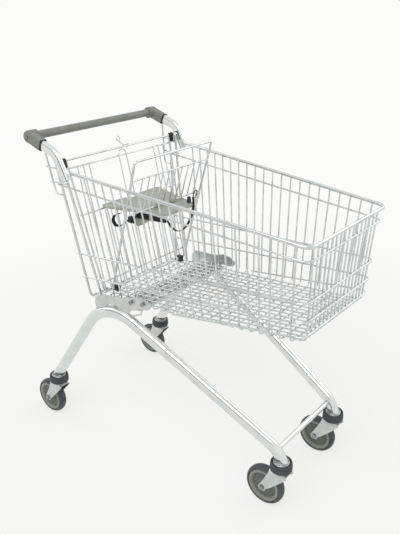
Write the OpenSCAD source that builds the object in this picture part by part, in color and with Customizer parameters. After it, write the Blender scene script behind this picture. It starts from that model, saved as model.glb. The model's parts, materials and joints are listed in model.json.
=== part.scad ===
// Wire shopping trolley: zinc-plated wire basket on two bent tube beams with four casters.
// Axes: +X forward (basket front), +Y left, +Z up. Z = 0 is the floor. Millimetres.

/* [Wires] */
// Diameter of the basket's side, front and floor wires
wire_d = 4.6;          // 3.5 to 6
// Diameter of the long horizontal rails
rail_d = 5.4;          // 4 to 7
// Diameter of the top rim rod
rim_d = 10;            // 8 to 12
// Diameter of the two heavy rods at each rear corner
post_d = 8;            // 6 to 10
// Inside bend radius, measured to the wire's centre, at the basket's lower edge
bend_r = 20;           // 12 to 28
// Bend radius of rails and rim at the front corners
corner_r = 26;         // 18 to 40

/* [Basket] */
// Rear end of the side walls, measured at the rim
rim_rear_x = -269;     // -280 to -255
// Front wall, measured at the rim
rim_front_x = 503;     // 470 to 520
// Rim height at the rear end
rim_rear_z = 914;      // 895 to 930
// Rim height at the front wall
rim_front_z = 853;     // 830 to 875
// Half width between the side walls at the rear, at the rim
rim_rear_half = 246;   // 240 to 252
// Half width between the side walls at the front, at the rim
rim_front_half = 194;  // 180 to 205
// Front wall, measured at the floor
floor_front_x = 489;   // 460 to 500
// Floor height at the front wall
floor_front_z = 577;   // 565 to 590
// Rise of the floor toward the front, per mm of length
floor_slope = 0.104;   // 0.08 to 0.12
// Half width at the front, at the floor
floor_front_half = 170; // 160 to 180
// Rear edge of the floor, where the heavy rear rod runs across
floor_rear_x = -269;   // -275 to -262
// Rear edge of the corner post, measured at the rim
post_rear_x = -322.5;  // -326 to -318
// Spacing of the corner post's two rods at the rim
post_gap = 28;         // 26 to 34
// Spacing of the same two rods at their feet
post_foot_gap = 50;    // 44 to 56
// Number of hoops that form both sides and the floor
hoop_count = 21;       // 15 to 21
// Distance from the side wall's rear end to the rearmost hoop, at the rim
hoop_rear_gap = 54;    // 45 to 65
// Distance from the floor's rear edge to the rearmost hoop, at the floor
hoop_floor_gap = 115;  // 100 to 130
// Number of wires that form the front wall and run back along the floor
front_count = 16;      // 10 to 18
// Distance from the front corner to the first front wire, at the rim
front_side_gap = 24.5; // 20 to 30

/* [Chassis] */
// Swivel axis of the rear casters
rear_swivel_x = -414;  // -424 to -400
// Half track of the rear casters
rear_half_track = 260; // 250 to 270
// Swivel axis of the front casters
front_swivel_x = 436;  // 420 to 440
// Half track of the front casters
front_half_track = 150; // 140 to 165
// Height of the tube section, across the bend
beam_h = 36;           // 30 to 40
// Width of the tube section
beam_w = 28;           // 22 to 30
// Slope of the rear legs above the horizontal
rear_slope = 56;       // 52 to 58
// Fall of the front legs below the horizontal
front_slope = 28;      // 25 to 30
// Centre-line radius of the bend over the rear legs
apex_r = 132;          // 110 to 145
// Centre-line radius of the small bend above the front casters
foot_r = 70;           // 60 to 110
// Slope of the last length above the front casters
foot_slope = 66;       // 50 to 75
// Diameter of the front cross rod
cross_rod_d = 16;      // 12 to 20

/* [Casters] */
// Wheel diameter
wheel_d = 125;         // 100 to 125
// Tyre width
tyre_w = 30;           // 24 to 32
// Distance from swivel axis to axle, measured along the floor
trail = 50;            // 35 to 55
// Outside diameter of the rubber collar
collar_d = 65;         // 58 to 70
// Height of the rubber collar
collar_h = 25;         // 20 to 28
// Axle bolt diameter
axle_d = 8;            // 6 to 10
// Sheet thickness of the fork
fork_t = 3;            // 2 to 4

/* [Handle] */
// Height of the grip's centre
grip_z = 1001;         // 990 to 1010
// Position of the grip's centre
grip_x = -419;         // -430 to -410
// Grip diameter
grip_d = 25;           // 22 to 32
// Length of each end cap's round sleeve, from its outer face to the grip
sleeve_len = 37.76;    // 34 to 44
// Height of the handle tube section
arm_h = 32;            // 28 to 36
// Width of the handle tube section
arm_w = 18;            // 16 to 20

/* [Flap] */
// Hinge rod position
hinge_x = -308;        // -312 to -304
// Hinge rod height
hinge_z = 938;         // 932 to 942
// Diameter of the hinge rod and the flap's frame
flap_rod_d = 6;        // 5 to 7
// Diameter of the flap's cross wires
flap_wire_d = 5;       // 4 to 5
// Height of the flap's lower edge
flap_low_z = 526;      // 523 to 530
// Height of the cross wire that carries the seat
seat_wire_z = 770;     // 755 to 770

/* [Child seat] */
// Height of the backrest's top wire
back_top_z = 958;      // 940 to 965
// Position of the backrest's top wire
back_top_x = -74;      // -85 to -70
// Space beside the backrest, up to the flap's side rod at its foot
back_side_gap = 25;    // 22 to 36
// Diameter of the backrest frame
back_d = 7;            // 6 to 8
// Thickness of the seat plate
seat_t = 10;           // 8 to 11
// Space beside the seat plate's rear edge, up to the flap's nearest long upright
seat_side_gap = 12;    // 8 to 20
// Half width of the seat plate's front edge
seat_front_half = 67;  // 60 to 80
// Length of the seat plate
seat_len = 222;        // 200 to 226
// Width of the harness webbing
strap_w = 20;          // 18 to 26

/* [Clearances] */
// Gap left between two wires or plates that are welded or bolted to each other
weld = 0.05;           // 0.03 to 0.2
// Gap where a straight length of wire meets a bend of the same wire
butt = 0.02;           // 0.01 to 0.05
// Running clearance around pins, rods and axles
run = 0.4;             // 0.3 to 0.6
// Gap between a piece and the seat that it only rests against
seat_gap = 0.3;        // 0.2 to 0.6

/* [Hidden] */
$fn = 32;

zinc = [0.80, 0.82, 0.83];
grey = [0.55, 0.57, 0.55];
dark = [0.20, 0.21, 0.23];
black = [0.07, 0.07, 0.08];

// ---- wires ----
function unit(v) = v / norm(v);
function at(q, b, t) = b + unit(q - b) * t;
function turn(a, b, c) = acos(max(-1, min(1, unit(b - a) * unit(c - b))));
function reach(p, i, r) = r * tan(turn(p[i - 1], p[i], p[i + 1]) / 2);

// straight round bar from a to b
module rod(a, b, d) {
  v = b - a;
  translate(a) rotate([0, acos(v[2] / norm(v)), atan2(v[1], v[0])])
    cylinder(d = d, h = norm(v));
}

// one bend at b, of a wire that comes from a and leaves toward c
module elbow(a, b, c, d, r) {
  u = unit(b - a);
  v = unit(c - b);
  w = unit(v - u * (u * v));
  th = turn(a, b, c);
  ctr = b - u * (r * tan(th / 2)) + w * r;
  n = cross(-w, u);
  multmatrix([[-w[0], u[0], n[0], ctr[0]], [-w[1], u[1], n[1], ctr[1]],
              [-w[2], u[2], n[2], ctr[2]], [0, 0, 0, 1]])
    rotate_extrude(angle = th) translate([r, 0]) circle(d = d);
}

// wire through the points p; legs and bends pick which of its lengths and bends are drawn
module wire(p, d, r, legs = undef, bends = undef) {
  n = len(p);
  ls = legs == undef ? [for (i = [0 : n - 2]) i] : legs;
  bs = bends == undef ? (n > 2 ? [for (i = [1 : n - 2]) i] : []) : bends;
  for (i = ls) {
    a = i == 0 ? p[0] : at(p[i + 1], p[i], reach(p, i, r) + butt);
    b = i == n - 2 ? p[n - 1] : at(p[i], p[i + 1], reach(p, i + 1, r) + butt);
    rod(a, b, d);
  }
  for (i = bs) elbow(p[i - 1], p[i], p[i + 1], d, r);
}

// ---- basket surfaces ----
wall_dx = rim_front_x - rim_rear_x;
wall_dz = rim_front_z - rim_rear_z;
low_dx = floor_front_x - rim_front_x;
low_dz = floor_front_z - rim_front_z;
wall_det = wall_dx * low_dz - wall_dz * low_dx;
d_top = rim_front_half - rim_rear_half;
d_low = floor_front_half - rim_front_half;
side_b = (d_top * low_dz - wall_dz * d_low) / wall_det;
side_c = (wall_dx * d_low - d_top * low_dx) / wall_det;
side_a = rim_rear_half - side_b * rim_rear_x - side_c * rim_rear_z;
function side_y(x, z) = side_a + side_b * x + side_c * z;
function front_x(z) = floor_front_x + (z - floor_front_z) * (rim_front_x - floor_front_x)
                      / (rim_front_z - floor_front_z);
function rim_z(x) = rim_front_z + (rim_front_x - x) * (rim_rear_z - rim_front_z) / wall_dx;
function floor_z(x) = floor_front_z + (x - floor_front_x) * floor_slope;

// a step forward is longer than the gap it leaves, since the front wires lean
front_skew = norm([rim_front_x - floor_front_x, rim_front_z - floor_front_z])
             / (rim_front_z - floor_front_z);
rail_off = (wire_d + rail_d) / 2 + weld;
rim_off = (wire_d + rim_d) / 2 + weld;
post_in = (post_d - wire_d) / 2;

// U-shaped rod round the basket: x and z where it ends, z at the front, distance outside the wires
function hoop_round(x0, z0, z1, off) = [
  [x0, -side_y(x0, z0) - off, z0],
  [front_x(z1) + off * front_skew, -side_y(front_x(z1), z1) - off, z1],
  [front_x(z1) + off * front_skew, side_y(front_x(z1), z1) + off, z1],
  [x0, side_y(x0, z0) + off, z0]];

// ---- side hoops ----
hoop_first_x = rim_front_x - 30;
hoop_floor_first = floor_front_x - 35;
hoop_pitch = (hoop_first_x - rim_rear_x - hoop_rear_gap) / (hoop_count - 1);
hoop_floor_pitch = (hoop_floor_first - floor_rear_x - hoop_floor_gap) / (hoop_count - 1);
function hoop_x(i) = hoop_first_x - i * hoop_pitch;
function hoop_fx(i) = hoop_floor_first - i * hoop_floor_pitch;
function hoop(i) = let (x = hoop_x(i), f = hoop_fx(i), z = floor_z(f)) [
  [x, -side_y(x, rim_z(x)), rim_z(x)],
  [f, -side_y(f, z), z],
  [f, side_y(f, z), z],
  [x, side_y(x, rim_z(x)), rim_z(x)]];

// ---- front wires ----
long_up = wire_d + weld;
front_pitch = 2 * (rim_front_half - front_side_gap) / (front_count - 1);
front_low_half = floor_front_half - 20;
front_low_pitch = 2 * front_low_half / (front_count - 1);
fan = (side_y(floor_rear_x, floor_z(floor_rear_x)) - 22) / front_low_half;
function front_wire(j) = let (
    k = j - (front_count - 1) / 2,
    zb = floor_z(floor_front_x) + long_up * 1.01) [
  [front_x(rim_front_z), k * front_pitch, rim_front_z],
  [front_x(zb), k * front_low_pitch, zb],
  [floor_rear_x, k * front_low_pitch * fan, floor_z(floor_rear_x) + long_up * 1.01]];

module rim() color(zinc)
  wire(hoop_round(rim_end_x, rim_z(rim_end_x), rim_front_z, rim_off), rim_d, corner_r);

// rails: height at the corner post and at the front wall
rails = [[868, 814], [649, 699], [568, 644]];
// the lowest rail starts further forward
short_rail = [76, 541, 602];
module side_rails() color(zinc) {
  for (r = rails)
    wire(hoop_round(post_x(r[0]) - post_d / 2 - 2, r[0], r[1], rail_off), rail_d, corner_r);
  wire(hoop_round(short_rail[0], short_rail[1], short_rail[2], rail_off), rail_d, corner_r);
}

module side_wires_right() color(zinc)
  for (i = [0 : hoop_count - 1]) wire(hoop(i), wire_d, bend_r, [0], []);

module side_wires_left() color(zinc)
  for (i = [0 : hoop_count - 1]) wire(hoop(i), wire_d, bend_r, [2], []);

module floor_cross_wires() color(zinc)
  for (i = [0 : hoop_count - 1]) wire(hoop(i), wire_d, bend_r, [1], [1, 2]);

module front_wires() color(zinc)
  for (j = [0 : front_count - 1]) wire(front_wire(j), wire_d, bend_r * 0.8, [0], []);

module floor_long_wires() color(zinc)
  for (j = [0 : front_count - 1]) wire(front_wire(j), wire_d, bend_r * 0.8, [1], [1]);

// ---- rear corners: an inverted U of heavy rod, and a light stay wire behind it ----
post_top_z = 942;
long_rear_z = floor_z(floor_rear_x) + long_up * 1.01;
// the rear rod of each post turns inward at its foot and runs across under the floor wires
post_foot_z = long_rear_z - (wire_d + post_d) / 2 - weld;
post_foot_x = floor_rear_x + 2;
post_lean = (post_foot_x - post_rear_x) / (rim_rear_z - post_foot_z);
function post_x(z) = post_rear_x + (rim_rear_z - z) * post_lean;
function post_front_x(z) = post_x(z) + post_gap
  + (post_foot_gap - post_gap) * (rim_rear_z - z) / (rim_rear_z - post_foot_z);
post_front_foot_x = post_foot_x + post_foot_gap;
post_front_foot_z = floor_z(post_front_foot_x) + wire_d / 2 + seat_gap;
post_turn_r = post_gap / 2 - 2;
// what a square-cut rod end leaves beside the leaning post
post_clear = post_d / 2 * (1 + post_lean * 1.6) + weld;
foot_turn_r = 16;
function post_pt(x, z, s) = [x, s * (side_y(x, z) - post_in), z];
function post_rod(s) = [
  [post_foot_x, 0, post_foot_z],
  post_pt(post_foot_x, post_foot_z, s),
  post_pt(post_x(post_top_z), post_top_z, s),
  post_pt(post_front_x(post_top_z), post_top_z, s),
  post_pt(post_front_foot_x, post_front_foot_z, s)];
// line of the handle arms, in the x-z plane
arm_slope = 18;
cap_len = 60;
arm_bend_r = 40;
arm_knee = [grip_x + 113, grip_z - 113 * tan(arm_slope)];
arm_end = [arm_knee[0] + 38, rim_rear_z - 24];
arm_turn = atan2(arm_knee[1] - arm_end[1], arm_end[0] - arm_knee[0]) - arm_slope;
arm_t = arm_bend_r * tan(arm_turn / 2);
arm_in = arm_knee - dir2(-arm_slope) * arm_t;
arm_out = arm_knee + dir2(-arm_slope - arm_turn) * arm_t;
arm_c = arm_in + dir2(-arm_slope - 90) * arm_bend_r;
arm_start = [grip_x, grip_z] + dir2(-arm_slope) * (cap_len + weld);
// underside of the arm's upper length, and the front edge of its lower end
function arm_under(x) = grip_z - (x - grip_x) * tan(arm_slope) - arm_h / 2 / cos(arm_slope);
function arm_front(z) = arm_out[0] + (arm_out[1] - z) / tan(arm_slope + arm_turn)
                        + arm_h / 2 / sin(arm_slope + arm_turn);
// the arms stand just outside the bent tops of the posts
arm_y = side_y(post_front_x(post_top_z) - post_d / 2, post_top_z)
        - post_in + post_d / 2 + arm_w / 2 + seat_gap;
rim_end_x = arm_front(rim_rear_z - rim_d) + seat_gap;

stay_d = 6;
stay_rail_d = 5;
stay_in = (stay_d - wire_d) / 2;
stay_turn_z = 835;
stay_turn_x = -345;
stay_top_x = grip_x + cap_len * cos(arm_slope) - 18 * sin(arm_slope) + stay_d / 2 + 0.8;
stay_top_z = arm_under(stay_top_x + stay_d / 2) - seat_gap;
function stay_pt(x, z, s) = [x, s * (side_y(x, z) - stay_in), z];
function stay_x(z) = stay_turn_x + (stay_top_x - stay_turn_x) * (z - stay_turn_z) / (stay_top_z - stay_turn_z);
function stay(s) = [
  stay_pt(stay_top_x, stay_top_z, s), stay_pt(stay_turn_x, stay_turn_z, s),
  stay_pt(post_x(stay_turn_z) - post_clear, stay_turn_z, s)];
// short rails between the stay wire and the post: height, and how many post rods they cross
stay_rails = [[918, 1], [874, 2]];
function stay_rail_pt(x, z, s) = [x, s * (side_y(x, z) + (wire_d + stay_rail_d) / 2 + weld), z];
module rear_posts(s) color(zinc) {
  wire(post_rod(s), post_d, foot_turn_r, [], [1]);
  rod(at(post_rod(s)[2], post_rod(s)[1], reach(post_rod(s), 1, foot_turn_r) + butt),
      at(post_rod(s)[1], post_rod(s)[2], reach(post_rod(s), 2, post_turn_r) + butt), post_d);
  wire(post_rod(s), post_d, post_turn_r, [2, 3], [2, 3]);
  rod(post_pt(post_x(rim_rear_z) + post_clear, rim_rear_z, s),
      post_pt(post_front_x(rim_rear_z) - post_clear, rim_rear_z, s), post_d);
  wire(stay(s), stay_d, 10);
  for (r = stay_rails)
    rod(stay_rail_pt(stay_x(r[0]) - stay_d / 2, r[0], s),
        stay_rail_pt((r[1] == 1 ? post_x(r[0]) : post_front_x(r[0])) + post_d / 2, r[0], s), stay_rail_d);
}
module rear_posts_right() rear_posts(-1);
module rear_posts_left() rear_posts(1);

// rods across the rear of the floor: the heavy one between the posts' feet, light ones before it
rear_rod_half = side_y(post_foot_x, post_foot_z) - post_in - reach(post_rod(1), 1, foot_turn_r) - butt;
rear_rod_count = floor((hoop_fx(hoop_count - 1) - floor_rear_x) / hoop_floor_pitch);
module rear_floor_rods() color(zinc) {
  rod([post_foot_x, -rear_rod_half, post_foot_z], [post_foot_x, rear_rod_half, post_foot_z], post_d);
  for (i = [0 : rear_rod_count - 1]) let (x = hoop_fx(hoop_count + i), z = floor_z(x))
    rod([x, -side_y(x, z) - wire_d / 2, z], [x, side_y(x, z) + wire_d / 2, z], wire_d);
}

// ---- chassis beams ----
track_dx = front_swivel_x - rear_swivel_x;
toe = atan((rear_half_track - front_half_track) / track_dx);
beam_len = norm([track_dx, rear_half_track - front_half_track]);
collar_top = wheel_d + 18 + collar_h;
beam_low = collar_top + 5 + weld;
foot_len = 12;

// flat oval section: x across the bend, y sideways
module oval(h, w) {
  square([h - w, w], center = true);
  translate([(h - w) / 2, 0]) circle(d = w);
  translate([-(h - w) / 2, 0]) circle(d = w);
}

// path in the beam's own plane: u along the floor from the rear swivel, v up
function dir2(a) = [cos(a), sin(a)];
// where the straight rear leg and the straight front leg would cross
foot_drop = foot_len * sin(foot_slope);
foot_u = beam_len - foot_len * cos(foot_slope);
foot_v = beam_low + foot_drop;
foot_t = foot_r * tan((foot_slope - front_slope) / 2);
knee_u = foot_u - foot_t * cos(foot_slope);
knee_v = foot_v + foot_t * sin(foot_slope);
rear_u0 = -8;
rear_v0 = collar_top - 8;
apex_u = (knee_v - rear_v0 + knee_u * tan(front_slope) + rear_u0 * tan(rear_slope))
         / (tan(rear_slope) + tan(front_slope));
apex_v = rear_v0 + (apex_u - rear_u0) * tan(rear_slope);
apex_t = apex_r * tan((rear_slope + front_slope) / 2);
rear_run = norm([apex_u - rear_u0, apex_v - rear_v0]) - apex_t;
front_run = norm([knee_u - apex_u, knee_v - apex_v]) - apex_t - foot_t;
apex_in = [apex_u, apex_v] - dir2(rear_slope) * apex_t;
apex_out = [apex_u, apex_v] + dir2(-front_slope) * apex_t;
apex_c = apex_in + dir2(rear_slope - 90) * apex_r;
knee_in = [knee_u, knee_v] - dir2(-front_slope) * foot_t;
knee_out = [knee_u, knee_v] + dir2(-foot_slope) * foot_t;
knee_c = knee_in + dir2(-front_slope - 90) * foot_r;

module leg_bar(p, ang, len) translate([p[0], p[1], 0]) rotate([0, 0, ang])
  translate([butt, 0, 0]) rotate([90, 0, 90]) linear_extrude(len - 2 * butt)
    oval(beam_h, beam_w);

module bend_bar(c, a0, a, r) translate([c[0], c[1], 0]) rotate([0, 0, a0])
  rotate_extrude(angle = a) translate([r, 0]) oval(beam_h, beam_w);

module beam_flat() difference() {
  union() {
    leg_bar([rear_u0, rear_v0] - dir2(rear_slope) * 40, rear_slope, rear_run + 40);
    bend_bar(apex_c, 90 - front_slope, rear_slope + front_slope, apex_r);
    leg_bar(apex_out, -front_slope, front_run);
    bend_bar(knee_c, 90 - foot_slope, foot_slope - front_slope, foot_r);
    leg_bar(knee_out, -foot_slope, foot_len + 30);
  }
  translate([-100, -100, -50]) cube([beam_len + 200, beam_low + 100, 100]);
}
// side -1 is the right beam
module beam_frame(s) translate([rear_swivel_x, s * rear_half_track, 0])
  rotate([90, 0, -s * toe]) children();
module chassis_beam_right() color(zinc) beam_frame(-1) beam_flat();
module chassis_beam_left() color(zinc) beam_frame(1) beam_flat();

// ---- front cross rod ----
rod_x = rear_swivel_x + (knee_u - 5.95) * cos(toe);
rod_z = knee_v - 8.6;
rod_half = rear_half_track - (rod_x - rear_swivel_x) * tan(toe) - beam_w / 2 / cos(toe)
           - cross_rod_d / 2 * tan(toe) - weld;
module front_cross_rod() color(zinc)
  rod([rod_x, -rod_half, rod_z], [rod_x, rod_half, rod_z], cross_rod_d);
module cross_rod_bolts() color(zinc) for (s = [-1, 1], k = [0, 1])
  beam_frame(s) translate([knee_in[0] - 6 - k * 30, knee_in[1] + (6 + k * 30) * tan(front_slope), 0])
    rotate([0, 0, -front_slope]) translate([0, -beam_h / 2 - weld, 0]) rotate([90, 0, 0])
      cylinder(d = 11, h = 5);

// ---- brackets that stand on the beams and carry the basket ----
bracket_t = 4;
bracket_low_v = 525;
bracket_shape = [
  [200, 509], [207, 525], [219, 534], [263, 541], [306, 544], [340, 553], [358, 561], [396, 560],
  [418, 549], [418, 541], [409, 531], [388, bracket_low_v], [366, bracket_low_v], [350, 518],
  [332, 499], [326, 470], [320, 420], [214, 420], [205, 470]];
bracket_bolts_at = [[345, 541], [389, 546]];
slot_at = [251, 507];
function leg_top(u) = apex_v + beam_h / 2 / cos(front_slope) - (u - apex_u) * tan(front_slope);
// everything under the beam's upper line
module under_beam() {
  translate(apex_c) circle(r = apex_r + beam_h / 2 + weld);
  translate(apex_out) rotate([0, 0, -front_slope]) translate([0, -200]) square([400, 200 + beam_h / 2 + weld]);
  translate(apex_in) rotate([0, 0, rear_slope]) translate([-400, -200]) square([400, 200 + beam_h / 2 + weld]);
}
module bracket(s) color(zinc) beam_frame(s) translate([0, 0, -bracket_t / 2])
  linear_extrude(bracket_t) difference() {
    polygon(bracket_shape);
    translate(slot_at) square([44, 5]);
    under_beam();
  }
module bracket_right() bracket(-1);
module bracket_left() bracket(1);
module bracket_bolts() color(zinc) for (s = [-1, 1], p = bracket_bolts_at)
  beam_frame(s) translate([p[0], p[1], -s * (bracket_t / 2 + weld + 3)])
    cylinder(d = 13, h = 6, center = true);

plate_x0 = -149;
plate_x1 = -44;
plate_t = 3;
function plate_half(x) = rear_half_track - (x - rear_swivel_x) * tan(toe) - bracket_t / 2 / cos(toe) - weld * 4;
plate_z = floor_z(0) - wire_d / 2 * 1.006 - weld;
module floor_support_plate() color(zinc)
  translate([0, 0, plate_z]) rotate([0, -atan(floor_slope), 0]) translate([0, 0, -plate_t])
    linear_extrude(plate_t) polygon([
      [plate_x0, -plate_half(plate_x0)], [plate_x1, -plate_half(plate_x1)],
      [plate_x1, plate_half(plate_x1)], [plate_x0, plate_half(plate_x0)]]);

// small wire hook between the right bracket and the beam's upper face
hook_d = 5;
hook_u = 383;
hook_low_u = 346;
module lock_hook() color(zinc) beam_frame(-1)
  wire([[hook_u, bracket_low_v - seat_gap - hook_d * 0.1, 0], [hook_u - 3, bracket_low_v - 16, 0],
        [hook_low_u, leg_top(hook_low_u) + hook_d / 2 + seat_gap, 0]], hook_d, 6);

// ---- casters ----
fork_inner = tyre_w / 2 + 3;
crown_z = wheel_d + 8;
crown_t = collar_top - collar_h - run - crown_z;
axle_z = wheel_d / 2;
collar_r = collar_d / 2;
module collar() {
  color(dark) translate([0, 0, collar_top - collar_h]) rotate_extrude() polygon([
    [0, 0], [collar_r - 4, 0], [collar_r, 4], [collar_r, collar_h * 0.36],
    [collar_r - 1.5, collar_h * 0.42], [collar_r, collar_h * 0.48], [collar_r, collar_h * 0.66],
    [collar_r - 1.5, collar_h * 0.72], [collar_r, collar_h * 0.78], [collar_r - 3, collar_h],
    [0, collar_h]]);
  color(zinc) translate([0, 0, collar_top + weld]) cylinder(d = 50, h = 5 - weld);
}
module cheek(s) {
  // plate in the x-z plane, tapering from the crown to the axle
  translate([0, s * (fork_inner + fork_t / 2) + fork_t / 2, 0]) rotate([90, 0, 0])
    linear_extrude(fork_t) union() {
      translate([-trail, axle_z]) circle(r = 13);
      polygon([[-trail - 12.4, axle_z + 3.9], [-28, crown_z - weld], [27, crown_z - weld],
               [27, crown_z - 8], [-trail + 6, axle_z - 11.53]]);
    }
}
module fork() color(zinc) {
  translate([0, 0, crown_z]) cylinder(d = 58, h = crown_t);
  for (s = [-1, 1]) {
    cheek(s);
    translate([-trail, s * (fork_inner + fork_t + weld + 2.5), axle_z]) rotate([90, 0, 0])
      cylinder(d = 14, h = 5, center = true);
  }
  translate([-trail, 0, axle_z]) rotate([90, 0, 0])
    cylinder(d = axle_d, h = 2 * (fork_inner - weld), center = true);
}
tyre_in = wheel_d / 2 - 11;
module tyre() color(dark) translate([-trail, 0, axle_z]) rotate([90, 0, 0]) rotate_extrude()
  polygon([[tyre_in + weld, -tyre_w / 2 + 2], [tyre_in + 2, -tyre_w / 2], [wheel_d / 2 - 5, -tyre_w / 2],
           [wheel_d / 2 - 1.5, -tyre_w / 2 + 3], [wheel_d / 2, -tyre_w / 2 + 8],
           [wheel_d / 2, tyre_w / 2 - 8], [wheel_d / 2 - 1.5, tyre_w / 2 - 3],
           [wheel_d / 2 - 5, tyre_w / 2], [tyre_in + 2, tyre_w / 2], [tyre_in + weld, tyre_w / 2 - 2]]);
hub_w = 2 * fork_inner - 2;
module wheel_centre() color(grey) translate([-trail, 0, axle_z]) rotate([90, 0, 0]) rotate_extrude()
  polygon([[axle_d / 2 + run, -hub_w / 2], [12, -hub_w / 2], [15, -9], [22, -5], [34, -6],
           [38, -12], [tyre_in, -12], [tyre_in, 12], [38, 12], [34, 6], [22, 5], [15, 9],
           [12, hub_w / 2], [axle_d / 2 + run, hub_w / 2]]);

module at_rr() translate([rear_swivel_x, -rear_half_track, 0]) children();
module at_rl() translate([rear_swivel_x, rear_half_track, 0]) children();
module at_fr() translate([front_swivel_x, -front_half_track, 0]) children();
module at_fl() translate([front_swivel_x, front_half_track, 0]) children();
module caster_collar_rr() at_rr() collar();
module caster_collar_rl() at_rl() collar();
module caster_collar_fr() at_fr() collar();
module caster_collar_fl() at_fl() collar();
module fork_rr() at_rr() fork();
module fork_rl() at_rl() fork();
module fork_fr() at_fr() fork();
module fork_fl() at_fl() fork();
module tyre_rr() at_rr() tyre();
module tyre_rl() at_rl() tyre();
module tyre_fr() at_fr() tyre();
module tyre_fl() at_fl() tyre();
module wheel_centre_rr() at_rr() wheel_centre();
module wheel_centre_rl() at_rl() wheel_centre();
module wheel_centre_fr() at_fr() wheel_centre();
module wheel_centre_fl() at_fl() wheel_centre();

// ---- handle ----
module arm(s) color(zinc) translate([0, s * arm_y, 0]) rotate([90, 0, 0]) {
  translate(arm_start) rotate([0, 0, -arm_slope]) rotate([90, 0, 90])
    linear_extrude(norm(arm_in - arm_start) - butt) oval(arm_h, arm_w);
  translate(arm_c) rotate([0, 0, 90 - arm_slope - arm_turn]) rotate_extrude(angle = arm_turn)
    translate([arm_bend_r, 0]) oval(arm_h, arm_w);
  translate(arm_out) rotate([0, 0, -arm_slope - arm_turn]) translate([butt, 0, 0])
    rotate([90, 0, 90]) linear_extrude(norm(arm_end - arm_out)) oval(arm_h, arm_w);
}
module handle_arm_right() arm(-1);
module handle_arm_left() arm(1);
cap_out = arm_y + arm_w / 2 + 5;
grip_half = cap_out - sleeve_len;
module handle_grip() color(grey)
  rod([grip_x, -grip_half, grip_z], [grip_x, grip_half, grip_z], grip_d);
module cap(s) color(grey) translate([grip_x, 0, grip_z]) union() {
  translate([0, s * (grip_half + weld + (cap_out - grip_half) / 2), 0]) rotate([90, 0, 0])
    cylinder(d = 38, h = cap_out - grip_half, center = true);
  rotate([0, arm_slope, 0]) translate([0, s * (cap_out - 14.5) - 14, -18]) cube([cap_len, 28, 36]);
}
module handle_cap_right() cap(-1);
module handle_cap_left() cap(1);
module handle_screws() color(zinc) for (s = [-1, 1])
  translate([grip_x, s * (cap_out + weld * 2 + 1.5), grip_z]) rotate([90, 0, 0])
    cylinder(d = 12, h = 3, center = true);

// ---- flap ----
flap_top_z = 912;
flap_lean = 0.22;
function flap_x(z) = hinge_x + (hinge_z - z) * flap_lean + 5;
// space between the flap's side rods and the basket's walls, at the top and at the foot
flap_gap_top = 27;
flap_gap_low = 11.66;
flap_half_top = side_y(hinge_x, hinge_z) - flap_gap_top;
flap_half_low = side_y(flap_x(flap_low_z), flap_low_z) - flap_gap_low;
function flap_half(z) = flap_half_low + (flap_half_top - flap_half_low) * (z - flap_low_z)
                        / (hinge_z - flap_low_z);
hinge_half = side_y(hinge_x, hinge_z) - post_in - post_d / 2 - 3;
cross_back = (flap_rod_d + flap_wire_d) / 2 + weld * 2;
upright_d = 4;
upright_back = cross_back - (flap_wire_d + upright_d) / 2 - weld * 2;
module flap_frame() color(zinc) {
  rod([hinge_x, -hinge_half, hinge_z], [hinge_x, hinge_half, hinge_z], flap_rod_d);
  wire([[hinge_x + 0.5, -flap_half(hinge_z), hinge_z - flap_rod_d / 2 - seat_gap],
        [flap_x(flap_low_z), -flap_half_low, flap_low_z],
        [flap_x(flap_low_z), flap_half_low, flap_low_z],
        [hinge_x + 0.5, flap_half(hinge_z), hinge_z - flap_rod_d / 2 - seat_gap]], flap_rod_d, 12);
}
flap_levels = [flap_top_z, seat_wire_z, 552];
function flap_side_x(z) = hinge_x + 0.5 + (hinge_z - flap_rod_d / 2 - z)
                          * (flap_x(flap_low_z) - hinge_x - 0.5) / (hinge_z - flap_rod_d / 2 - flap_low_z);
module flap_cross_wires() color(zinc) for (z = flap_levels)
  rod([flap_side_x(z) - cross_back * 1.025, -flap_half(z) - 2, z],
      [flap_side_x(z) - cross_back * 1.025, flap_half(z) + 2, z], flap_wire_d);
// vertical flap wire at y, from height z1 down to z0
module upright(y, z0, z1) rod(
  [flap_side_x(z0) - upright_back * 1.025, y, z0],
  [flap_side_x(z1) - upright_back * 1.025, y, z1], upright_d);
outer_uprights = [for (k = [2, 1, 0]) flap_half_low - 8 - k * 23];
inner_uprights = [for (k = [0 : 7]) if (k * 24 < outer_uprights[0] - 12) k * 24];
flap_foot_z = flap_low_z + flap_rod_d / 2 + 1;
module flap_uprights() color(zinc) {
  for (s = [-1, 1], k = [0 : 2])
    upright(s * outer_uprights[k], flap_foot_z + (k == 2 ? 1.2 : 0), flap_top_z + 4);
  for (y = inner_uprights) {
    upright(y, flap_foot_z, seat_wire_z + 2);
    if (y > 0) upright(-y, flap_foot_z, seat_wire_z + 2);
  }
}
loop_half = 16;
module flap_loop() color(zinc)
  wire([for (q = [[-loop_half, seat_wire_z + 1], [-loop_half, 931], [loop_half, 931],
                  [loop_half, seat_wire_z + 1]])
        [flap_side_x(q[1]) - upright_back * 1.025, q[0], q[1]]], upright_d, 15);
module flap_hook() color(zinc)
  wire([[hinge_x, 34, hinge_z + 5], [hinge_x, 10, hinge_z + 5], [hinge_x, -20, hinge_z + 28],
        [hinge_x, -15, hinge_z + 38], [hinge_x, -5, hinge_z + 34], [hinge_x, -5, hinge_z + 20]], 3, 3.2);

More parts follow.
